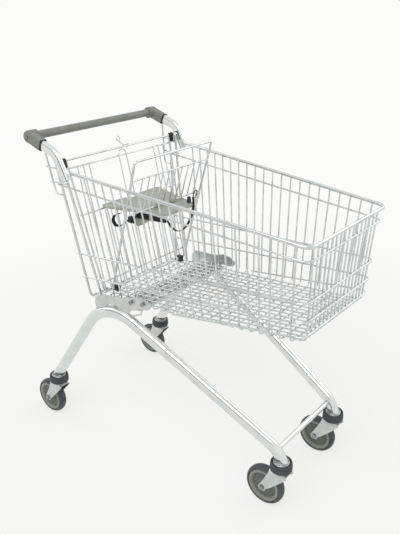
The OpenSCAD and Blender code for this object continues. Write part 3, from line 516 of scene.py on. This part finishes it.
def forkStrip(code):
    # pressed U strip: a path up one cheek, over the crown and down the other; width and middle x
    # change along it
    axle, pivot, outer, collarZ = casterPlaces(code)
    y0 = outer - caster["sheet"] / 2
    top = collarZ - caster["crownDrop"]               # middle of the crown sheet
    r, drop, foot, crown = (caster[k] for k in ("turn", "footDrop", "footHalf", "crownHalf"))
    down = np.linspace(0, 1, 26)
    zLow, zHigh = axle[2], top - r
    cheekZ = zLow - drop + (zHigh - zLow + drop) * down
    turnA = np.linspace(0, np.pi / 2, 7)[1:-1]
    flat = np.linspace(-y0 + r, y0 - r, 9)
    y = np.concatenate([np.full(26, -y0), -y0 + r - r * np.cos(turnA), flat])
    z = np.concatenate([cheekZ, zHigh + r * np.sin(turnA), np.full(9, top)])
    y = np.concatenate([y, -y[:31][::-1]])
    z = np.concatenate([z, z[:31][::-1]])
    h = np.clip((z - axle[2]) / (zHigh - axle[2]), 0, 1)
    # edges: from the round end about the axle to the broad top, x = mix of both by an eased height
    ease = h ** 0.9
    front = (pivot[0] + crown) * ease + (axle[0] + foot) * (1 - ease)
    rear = (pivot[0] - crown) * ease + (axle[0] - foot) * (1 - ease)
    # below the axle the end is round: half width = foot * sqrt(1 - (drop below the axle / drop)^2)
    below = np.clip((axle[2] - z) / drop, 0, 1)
    arc = np.sqrt(np.clip(1 - below ** 2, 0, 1))
    front = np.where(z < axle[2], axle[0] + foot * arc, front)
    rear = np.where(z < axle[2], axle[0] - foot * arc, rear)
    v = np.linspace(0, 1, 19)
    x = rear[:, None] * (1 - v) + front[:, None] * v
    # on the cheeks, the pressed rib is a bell exp(-((v - 0.52) / 0.16)^2) down the middle and the
    # edges turn in by |2v - 1|^6; both fade out towards the axle
    cheek = np.abs(y[:, None]) > y0 - 1e-6
    height = z[:, None] - axle[2]
    rib = np.exp(-((v - 0.52) / 0.16) ** 2)[None] * np.clip((height - 0.012) / 0.02, 0, 1)
    lip = (np.abs(2 * v - 1) ** 6)[None] * np.clip(height / 0.02, 0, 1)
    out = caster["crease"] * (rib * 0.7 - lip) * cheek
    yy = y[:, None] + np.sign(y)[:, None] * out
    return x, yy + pivot[1], np.broadcast_to(z[:, None], x.shape)


def forkParts(code):
    x, y, z = forkStrip(code)
    # a wall of sheet: the strip moved half a thickness out along its normal, and in, with both
    # joined round the edge
    pts = np.stack([x, y, z], -1)
    du, dv = np.gradient(pts, axis=0), np.gradient(pts, axis=1)
    n = np.cross(du, dv)
    length = np.linalg.norm(n, axis=2)[..., None]
    n = n / np.where(length > 1e-12, length, 1)
    t = caster["sheet"] / 2
    a, b = pts + n * t, pts - n * t
    ring = np.concatenate([a, b[:, ::-1]], axis=1)
    rows, columns = ring.shape[:2]
    return [(ring.reshape(-1, 3), gridQuads(rows, columns, False, True))]


def hexNut(centre, axis, across, height, hole=0.0):
    # six-sided prism with a chamfered flat top: its corners are across / sqrt(3) from the middle
    r = across / math.sqrt(3)
    profile = [(hole, 0), (r, 0), (r, height * 0.82), (r * 0.9, height), (hole, height)]
    return lathe(profile, centre, axis, 6, closed=hole > 0)


def disc(centre, axis, r, height, edge=0.0004, hole=0.0, count=40):
    # flat disc with a rounded edge, closed to its middle or round a hole
    profile = np.array([(hole, 0), (r, 0), (r, height), (hole, height)])
    return lathe(roundCorners(profile, [0, edge, edge, 0], 4), centre, axis, count, closed=hole > 0)


for code in casters:
    wheel, swivel = "wheel_" + code, "swivel_" + code
    piece("tyreTread_" + code, [tyrePart(code)], tyreRubber, wheel, ["tyre_" + code],
          sharp=50)
    piece("wheelCentre_" + code, [wheelParts(code)], wheelPlastic, wheel,
          ["wheel_centre_" + code])
    # the guard is a real part whose darker grey is painted shade of the wheel's recess
    piece("threadGuardPaintedShade_" + code, guardParts(code), guardPaintedShadePlastic, wheel)
    axle, pivot, outer, collarZ = casterPlaces(code)
    base = (pivot[0], pivot[1], collarZ)
    crown = [disc((pivot[0], pivot[1], collarZ - 0.0036), (0, 0, 1), 0.0270, 0.0030, 0.0012)]
    piece("forkSheet_" + code, forkParts(code) + crown, pressedSheet, swivel,
          ["fork_" + code], sharp=40)
    bolt = []
    for s in (-1, 1):
        face = axle + (0, s * outer, 0)
        bolt += [disc(face, (0, s, 0), 0.0098, 0.0012),
                 hexNut(face + (0, s * 0.0012, 0), (0, s, 0), 0.013, 0.0038)]
    shank = [(0, -outer), (0.004, -outer), (0.004, outer), (0, outer)]
    bolt.append(lathe(shank, axle, (0, 1, 0), 24, closed=False))
    piece("axleBolt_" + code, bolt, boltSteel, swivel, bevel=0.0004)
    # collar: a soft rubber bowl with two grooves round it, and the plated ring that the tube
    # stands in
    bowl = np.array([(0.0, 0.0), (0.0290, 0.0), (0.0325, 0.0040), (0.0325, 0.0086),
                     (0.0314, 0.0096), (0.0314, 0.0104), (0.0325, 0.0114), (0.0325, 0.0170),
                     (0.0314, 0.0180), (0.0314, 0.0188), (0.0322, 0.0198), (0.0312, 0.0262),
                     (0.0302, 0.0278), (0.0278, 0.0278), (0.0264, 0.0262), (0.0258, 0.0240),
                     (0.0, 0.0236)])
    bowl = roundCorners(bowl, 0.0009, 4, closed=False)
    piece("collarBowl_" + code, [lathe(bowl, base, (0, 0, 1), 96, closed=False)],
          collarRubber, "trolley", ["caster_collar_" + code])
    ring = np.array([(0.0, 0.0238), (0.0250, 0.0238), (0.0250, 0.0268), (0.0232, 0.0288),
                     (0.0205, 0.0299), (0.0, 0.0299)])
    ring = roundCorners(ring, 0.0012, 4, closed=False)
    piece("collarRing_" + code, [lathe(ring, base, (0, 0, 1), 72, closed=False)],
          boltSteel, "trolley")
print("trolley: casters built")


handle = {
    "voxel": 0.0013,              # metres, as all below but the slope
    "slope": 18,                  # degrees that the cap's arm falls
    "reach": 0.0597,              # length of the cap's arm
    "armIn": 0.0145,              # arm's middle in from the cap's outer face
    "armHalf": (0.0136, 0.0172),  # half its thickness each way
    "gasketHalf": (0.0122, 0.0178),
}


def gripPart():
    low, high = nodeBox("handle_grip")
    centre, r, half = (low + high) / 2, (high[2] - low[2]) / 2, (high[1] - low[1]) / 2
    # tube with a faint swell towards each end, r(y) = R * (0.992 - 0.006 * cos(pi y / half))
    y = np.linspace(-half, half, 41)
    profile = np.stack([r * (0.992 - 0.006 * np.cos(np.pi * y / half)), y], -1)
    profile = np.vstack([(0, -half), profile, (0, half)])
    return lathe(profile, centre, count=72, closed=False)


def capObject(side, name, node):
    # a sleeve round the grip and a rounded block over the arm's end, fused by a voxel remesh so
    # their joint is a moulded fillet
    low, high = nodeBox(node)
    gLow, gHigh = nodeBox("handle_grip")
    gx, gz = (gLow[0] + gHigh[0]) / 2, (gLow[2] + gHigh[2]) / 2
    yIn = gHigh[1] if side > 0 else -gLow[1]
    yOut = high[1] if side > 0 else -low[1]
    slope = math.radians(handle["slope"])
    mid = yOut - handle["armIn"]
    sleeve = np.array([(0, yIn + 0.0002), (0.0186, yIn + 0.0002), (0.0190, yIn + 0.0012),
                       (0.0190, yOut - 0.0055), (0.0150, yOut - 0.0002), (0, yOut - 0.0002)])
    sleeve = roundCorners(sleeve * (1, side), 0.004, 6, closed=False)
    parts = [lathe(sleeve, (gx, 0, gz), (0, 1, 0), 64, closed=False)]
    t = np.linspace(0, 1, 24)
    along = np.array([math.cos(slope), 0, -math.sin(slope)])
    path = np.array([gx, side * mid, gz]) + along * (t[:, None] * handle["reach"])
    parts.append(sweep(path, roundBox(handle["armHalf"], 0.0066, 6), (0, 0, 1)))
    points, faces = joinParts(parts)
    mesh = bpy.data.meshes.new(name)
    mesh.from_pydata(points.tolist(), [], faces.tolist())
    tidyMesh(mesh, mergeReach)
    made = addObject(name, mesh, capPlastic)
    fuse = made.modifiers.new("fuse", "REMESH")
    fuse.mode, fuse.voxel_size, fuse.use_smooth_shade = "VOXEL", handle["voxel"], True
    soften = made.modifiers.new("soften", "SMOOTH")
    soften.factor, soften.iterations = 0.5, 5
    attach(made, "trolley")
    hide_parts(node)
    # black gasket where the tube enters
    end = np.array([gx, side * mid, gz]) + along * handle["reach"]
    ringPath = np.stack([end - along * 0.0008, end + along * 0.0016])
    piece(name + "_gasket", [sweep(ringPath, roundBox(handle["gasketHalf"], 0.007, 6), (0, 0, 1))],
          blackPlastic, "trolley", bevel=0.0003)


piece("gripTube", [gripPart()], gripPlastic, "trolley", ["handle_grip"], sharp=50)
capObject(-1, "handleCap_right", "handle_cap_right")
capObject(1, "handleCap_left", "handle_cap_left")
screws = []
for s in (-1, 1):
    low, high = nodeBox("handle_screws")
    y = high[1] if s > 0 else low[1]
    gx, gz = (low[0] + high[0]) / 2, (low[2] + high[2]) / 2
    # cup head with a sunk middle: r and y of the profile
    cup = np.array([(0, -0.0022), (0.0060, -0.0022), (0.0060, -0.0006), (0.0050, 0), (0.0030, 0),
                    (0.0026, -0.0016), (0, -0.0016)])
    cup = roundCorners(cup * (1, s), 0.0003, 3, closed=False)
    screws.append(lathe(cup, (gx, y, gz), (0, 1, 0), 32, closed=False))
piece("handleScrews", screws, boltSteel, "trolley", ["handle_screws"])
print("trolley: handle built")


seat = {
    "edge": 0.0028,       # rounding of the plate's edge, metres
    "lip": 0.0022,        # raised rim round the plate
    "under": 0.052,       # the plate's underside above the ribs' lowest point
    "thick": 0.010,
    "frontHalf": 0.067,   # half the width at the front
    "lugHalf": 0.0336,    # hinge lugs from the middle
}


def slab(outline, middle, low, high, edge, sink=0.0, rim=0.008):
    # rounded plate: rings of the outline drawn towards its middle along a quarter circle at both
    # faces, then closed to the middle; sink lowers the upper face inside a raised rim
    outline = np.asarray(outline, float)
    toMiddle = np.asarray(middle, float) - outline
    away = np.linalg.norm(toMiddle, axis=1)[:, None]
    a = np.linspace(0, np.pi / 2, 4)
    rings = [(edge * (1 - math.sin(k)), low + edge * (1 - math.cos(k))) for k in a]
    rings += [(edge * (1 - math.cos(k)), high - edge * (1 - math.sin(k))) for k in a]
    if sink:
        rings += [(rim * 0.62, high), (rim * 0.8, high - sink * 0.7), (rim, high - sink)]
    rows = [np.column_stack([outline + toMiddle / away * inset, np.full(len(outline), z)])
            for inset, z in rings]
    ends = [np.column_stack([np.broadcast_to(middle, outline.shape), np.full(len(outline), z)])
            for z in (low, rings[-1][1])]
    rows = np.array([ends[0], *rows, ends[1]])
    return rows.reshape(-1, 3), gridQuads(len(rows), len(outline), False, True)


def turned(part, centre, ex, ey, ez):
    # carries a part from its own axes to centre + x*ex + y*ey + z*ez
    return np.asarray(centre, float) + part[0] @ np.array([ex, ey, ez], float), part[1]


seatLow, seatHigh = nodeBox("seat_plate")
seatUnder = seatLow[2] + seat["under"]
seatTop = seatUnder + seat["thick"]
rearX, frontX = seatLow[0], seatHigh[0]
rearHalf, frontHalf = seatHigh[1], seat["frontHalf"]
outline = [(rearX, -rearHalf + 0.004), (rearX + 0.008, -rearHalf),
           (frontX - 0.008, -frontHalf - 0.002), (frontX, -frontHalf + 0.004),
           (frontX, frontHalf - 0.004), (frontX - 0.008, frontHalf + 0.002),
           (rearX + 0.008, rearHalf), (rearX, rearHalf - 0.004),
           (rearX, 0.032), (rearX + 0.018, 0.024), (rearX + 0.018, -0.024), (rearX, -0.032)]
corners = [0.006, 0.010, 0.010, 0.006] * 2 + [0.006] * 4
plate = roundCorners(outline, corners, 6)
middle = ((rearX + frontX) / 2, 0.0)
seatParts = [slab(plate, middle, seatUnder, seatTop, seat["edge"], seat["lip"])]
hingeX = next(joint["pos_m"][0] for joint in frame["joints"] if joint["name"] == "seat_hinge")
ribProfile = np.array([(-0.050, 0.0005), (-0.0545, -0.036), (-0.050, -0.047), (-0.044, -0.0515),
                       (-0.036, -0.049), (0.017, -0.018), (0.017, 0.0005)])
# the ribs stand just inside the plate's slanted sides
ribAt = rearHalf + (frontHalf - rearHalf) * (hingeX + 0.018 - rearX) / (frontX - rearX) - 0.003
for s in (-1, 1):
    rib = slab(roundCorners(ribProfile, 0.006, 5), (-0.03, -0.022), -0.003, 0.003, 0.0012)
    seatParts.append(turned(rib, (hingeX, s * ribAt, seatUnder), (1, 0, 0), (0, 0, 1), (0, 1, 0)))
    lug = roundCorners([(-0.007, -0.002), (0.007, -0.002), (0.007, 0.005), (0.004, 0.010),
                        (-0.004, 0.010), (-0.007, 0.005)], 0.002, 4)
    lug = slab(lug, (0, 0.003), -0.0065, 0.0065, 0.001)
    pin = (hingeX, s * seat["lugHalf"], seatTop)
    seatParts.append(turned(lug, pin, (1, 0, 0), (0, 0, 1), (0, 1, 0)))
piece("seatPlate", seatParts, seatPlastic, "seat", ["seat_plate"], sharp=45)
print("trolley: seat built")


harness = {
    "width": 0.020,   # webbing under the seat, metres
    "thin": 0.008,    # the bow in front
    "loop": 0.0045,   # the loop above the seat
    "thick": 0.0015,
    "drop": 0.0103,   # the webbing's middle below the seat's underside
}
strapZ = seatUnder - harness["drop"]


def strapObject(name, points, width, sway=0.0, up=(0, 0, 1)):
    # flat band along a smooth curve: p(s) + side(s)*a + over(s)*b, rolled about the curve by
    # sway * sin(2 pi s / length); its UV map holds (b, s) in metres for the weave
    path = smoothPath(points, 40)
    step = np.linalg.norm(np.diff(path, axis=0), axis=1)
    along = np.concatenate([[0], np.cumsum(step)])
    section = roundBox((harness["thick"] / 2, width / 2), harness["thick"] * 0.45, 3)
    _, side, over = frames(path, up)
    roll = sway * np.sin(along / along[-1] * 2 * np.pi)[:, None]
    side, over = (side * np.cos(roll) + over * np.sin(roll),
                  over * np.cos(roll) - side * np.sin(roll))
    rows = (path[:, None] + side[:, None] * section[None, :, 0:1]
            + over[:, None] * section[None, :, 1:2])
    quads = gridQuads(len(path), len(section), False, True).tolist()
    count = len(section)
    ends = [list(range(count)), list(range((len(path) - 1) * count, len(path) * count))[::-1]]
    mesh = bpy.data.meshes.new(name)
    mesh.from_pydata(rows.reshape(-1, 3).tolist(), [], quads + ends)
    tidyMesh(mesh)
    table = np.stack(np.broadcast_arrays(section[None, :, 1], along[:, None]), -1).reshape(-1, 2)
    corner = np.zeros(len(mesh.loops), int)
    mesh.loops.foreach_get("vertex_index", corner)
    strip = mesh.uv_layers.new(name="strip")
    strip.data.foreach_set("uv", table[corner].astype(np.float32).ravel())
    mesh.shade_smooth()
    mesh.set_sharp_from_angle(angle=math.radians(40))
    made = addObject(name, mesh, strapWeave)
    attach(made, "seat")
    return made


hang = [(0.066, 0.024, 0), (0.054, 0.008, 0.005), (0.050, 0.0015, 0.020), (0.062, 0.002, 0.035),
        (0.080, 0.011, 0.033), (0.094, 0.025, 0.016), (0.104, 0.027, 0.013)]
hanging = strapObject("strapHanging", [(rearX + x, y - rearHalf, strapZ - z) for x, y, z in hang],
                      harness["width"] * 0.7, 0.25, (0.2, 1, 0))
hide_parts("harness_strap")
strapObject("strapUnder", [(rearX + 0.116, -ribAt - 0.009, strapZ),
                           ((rearX + frontX) / 2, -ribAt - 0.006, strapZ - 0.002),
                           (frontX - 0.052, -ribAt - 0.001, strapZ),
                           (frontX - 0.006, -frontHalf + 0.004, strapZ - 0.002)],
            harness["width"])
strapObject("strapBow", [(frontX - 0.004, -frontHalf + 0.006, strapZ - 0.004),
                         (frontX + 0.004, -frontHalf + 0.020, strapZ - 0.030),
                         (frontX + 0.008, -0.022, strapZ - 0.046),
                         (frontX + 0.010, 0.008, strapZ - 0.040),
                         (frontX + 0.007, 0.036, strapZ - 0.018),
                         (frontX + 0.003, 0.052, seatUnder - 0.004),
                         (frontX + 0.0020, 0.056, seatTop + 0.002),
                         (frontX - 0.001, 0.058, seatTop + 0.022)],
            harness["thin"], 0.3, (1, 0.2, 0))
strapObject("strapLoop", [(frontX - 0.002, 0.058, seatTop + 0.018),
                          (frontX, 0.059, seatTop + 0.032),
                          (frontX + 0.006, 0.060, seatTop + 0.044),
                          (frontX + 0.0125, 0.060, seatTop + 0.044),
                          (frontX + 0.0125, 0.059, seatTop + 0.032),
                          (frontX + 0.007, 0.058, seatTop + 0.021)],
            harness["loop"], 0.1, (0, 1, 0))


def buckleParts(centre, along, across, size):
    # side-release buckle: a socket, a plug with two side wings, and a bar for the strap, each a
    # slab with its share of the length, half width and half thickness
    length, width, thick = size
    normal = np.cross(along, across)
    parts = []
    shares = ((-0.50, 0.06, 0.5, 0.5), (0.10, 0.30, 0.44, 0.40), (0.42, 0.50, 0.40, 0.36))
    for x0, x1, half, t in shares:
        box = roundCorners([(x0 * length, -half * width), (x1 * length, -half * width),
                            (x1 * length, half * width), (x0 * length, half * width)], 0.0018, 4)
        parts.append(turned(slab(box, ((x0 + x1) / 2 * length, 0), -t * thick, t * thick, 0.0009),
                            centre, along, across, normal))
    for s in (-1, 1):
        wing = np.array([(0.02, 0.30), (0.48, 0.30), (0.48, 0.46), (0.02, 0.46)][::s])
        wing = roundCorners(wing * (length, s * width), 0.0010, 4)
        wing = slab(wing, (0.25 * length, s * 0.38 * width), -0.3 * thick, 0.3 * thick, 0.0006)
        parts.append(turned(wing, centre, along, across, normal))
    return parts


def islands(name):
    # loose bodies of a CAD node: vertices joined by place, then the lowest label spread along the
    # edges
    mesh = nodes[name].data
    co = np.zeros(len(mesh.vertices) * 3)
    mesh.vertices.foreach_get("co", co)
    co = co.reshape(-1, 3)
    ends = np.zeros(len(mesh.edges) * 2, int)
    mesh.edges.foreach_get("vertices", ends)
    _, same = np.unique(np.round(co, 6), axis=0, return_inverse=True)
    same = same.ravel()
    a, b = same[ends[0::2]], same[ends[1::2]]
    label = np.arange(same.max() + 1)
    while True:
        low = np.minimum(label[a], label[b])
        spread = label.copy()
        np.minimum.at(spread, a, low)
        np.minimum.at(spread, b, low)
        spread = spread[spread]
        if (spread == label).all():
            break
        label = spread
    each = label[same]
    return [co[each == k] for k in np.unique(each)]


buckles = []
for bit in islands("harness_buckles"):
    low, high = bit.min(0), bit.max(0)
    span = high - low
    if span[0] > span[2]:
        buckles += buckleParts((low + high) / 2, (1, 0, 0), (0, 0, 1), (span[0], span[2], span[1]))
    else:
        # the small upright one is slimmer than its block, on the webbing's loop
        buckles += buckleParts((low + high) / 2 + (0.004, 0, 0.002), (0, 0, 1), (0, 1, 0),
                               (span[2] * 1.2, span[1] * 0.7, span[0] * 0.5))
piece("harnessBuckles", buckles, blackPlastic, "seat", ["harness_buckles"],
      sharp=40)
print("trolley: harness built")


bearing = {"r": 0.008, "bore": 0.0034}
bearings = []
for bit in islands("hinge_bearings"):
    low, high = bit.min(0), bit.max(0)
    y, half = (low[1] + high[1]) / 2, (high[1] - low[1]) / 2
    r, bore = bearing["r"], bearing["bore"]
    pin = (low[0] + r, y, high[2] - r)
    hub = np.array([(bore, -half), (r - 0.001, -half), (r, -half + 0.001), (r, half - 0.001),
                    (r - 0.001, half), (bore, half)])
    bearings.append(lathe(roundCorners(hub, 0.0006, 3), pin, (0, 1, 0), 40))
    foot = roundCorners([(-0.0070, -0.0218), (0.0078, -0.0218), (0.0078, -0.0040),
                         (-0.0070, -0.0040)], 0.002, 4)
    foot = slab(foot, (0.0004, -0.013), -half, half, 0.0009)
    bearings.append(turned(foot, pin, (1, 0, 0), (0, 0, 1), (0, 1, 0)))
piece("hingeBearings", bearings, blackPlastic, "trolley", ["hinge_bearings"])


def axisOf(points):
    # a body's middle, its principal directions as columns, and its extent along each
    middle = (points.min(0) + points.max(0)) / 2
    _, turn = np.linalg.eigh(np.cov((points - middle).T))
    local = (points - middle) @ turn
    return middle + turn @ ((local.min(0) + local.max(0)) / 2), turn, local.max(0) - local.min(0)


heads = []
for name in ("bracket_bolts", "cross_rod_bolts"):
    for bit in islands(name):
        middle, turn, span = axisOf(bit)
        k = int(np.argmin(span))
        r, h = (span.sum() - span[k]) / 4, span[k]
        # heads on the brackets face the trolley's middle, and those of the cross rod face down
        facing = (0, -np.sign(middle[1]), 0) if name == "bracket_bolts" else (0, 0, -1)
        axis = turn[:, k] * np.sign(turn[:, k] @ facing)
        # domed head r(t) = 0.86 R * sqrt(1 - t^2 / 1.05) on a flat washer
        t = np.linspace(0, 1, 7)
        dome = np.stack([r * 0.86 * np.sqrt(np.clip(1 - t ** 2 / 1.05, 0, 1)),
                         h * (0.22 + 0.76 * t)], -1)
        washer = [(0, 0), (r * 0.99, 0), (r * 0.99, h * 0.2), (r * 0.86, h * 0.22)]
        profile = np.vstack([washer, dome, (0, h * 0.98)])
        heads.append(lathe(profile, middle - axis * h / 2, axis, 28, closed=False))
piece("frameBolts", heads, boltSteel, "trolley", ["bracket_bolts", "cross_rod_bolts"],
      sharp=30)


bead = 0.0017   # metres, half the width of a weld between two wires whose radii sum to 5 mm


def straightWires(names):
    # middle, direction, half length and radius of every straight length of wire in the nodes
    found = []
    for name in names:
        for bit in islands(name):
            middle, turn, span = axisOf(bit)
            order = np.argsort(span)
            if span[order[1]] < span[order[0]] * 1.15 and span[order[2]] > span[order[0]] * 1.5:
                found.append((*middle, *turn[:, order[2]], span[order[2]] / 2, span[order[0]] / 2))
    return np.array(found)


def weldBeads(groups, reach=0.0005):
    # where two straight wires p + u*s and q + v*t come closest and touch, a small squashed ball
    # fills the corner between them
    ball, quads = lathe([(0, -1), (0.75, -0.62), (1, 0), (0.75, 0.62), (0, 1)], (0, 0, 0),
                        (0, 0, 1), 6, closed=False)
    out = []
    for one, two in groups:
        a, b = straightWires(one), straightWires(two)
        p, u, la, ra = a[:, None, :3], a[:, None, 3:6], a[:, None, 6], a[:, None, 7]
        q, v, lb, rb = b[None, :, :3], b[None, :, 3:6], b[None, :, 6], b[None, :, 7]
        w, c = q - p, (u * v).sum(-1)
        det = np.maximum(1 - c ** 2, 1e-6)
        s = ((w * u).sum(-1) - c * (w * v).sum(-1)) / det
        t = (c * (w * u).sum(-1) - (w * v).sum(-1)) / det
        gap = (q + v * t[..., None]) - (p + u * s[..., None])
        far = np.linalg.norm(gap, axis=-1)
        onBoth = (np.abs(s) < la - 0.0005) & (np.abs(t) < lb - 0.0005)
        touching = (far < ra + rb + reach) & (far > 0.001) & (np.abs(c) < 0.9)
        for i, j in zip(*np.nonzero(onBoth & touching)):
            n = gap[i, j] / far[i, j]
            ua = a[i, 3:6]
            vb = np.cross(n, ua)
            spot = a[i, :3] + ua * s[i, j] + n * a[i, 7]
            size = bead * (a[i, 7] + b[j, 7]) / 0.005
            out.append((spot + (ball * (1.25, 1.25, 0.62)) @ np.array([ua, vb, n]) * size, quads))
    return out


sides = ["side_wires_right", "side_wires_left"]
rods = ["side_rails", "rim"]
trolleyBeads = weldBeads([(sides, rods), (["front_wires"], rods),
                          (["floor_cross_wires"], ["floor_long_wires"]),
                          (["rear_floor_rods"], ["floor_long_wires"]),
                          (["rear_posts_right", "rear_posts_left"], rods)])
piece("weldBeads", trolleyBeads, drawnWire, "trolley")
flapBeads = weldBeads([(["flap_uprights", "flap_loop"], ["flap_cross_wires", "flap_frame"]),
                       (["flap_cross_wires"], ["flap_frame"])])
piece("flapBeads", flapBeads, drawnWire, "flap")
backBeads = weldBeads([(["backrest_grid"], ["backrest_frame", "backrest_grid"])])
piece("backrestBeads", backBeads, drawnWire, "backrest")
print("trolley: bearings, bolts and", len(trolleyBeads) + len(flapBeads) + len(backBeads),
      "welds built")
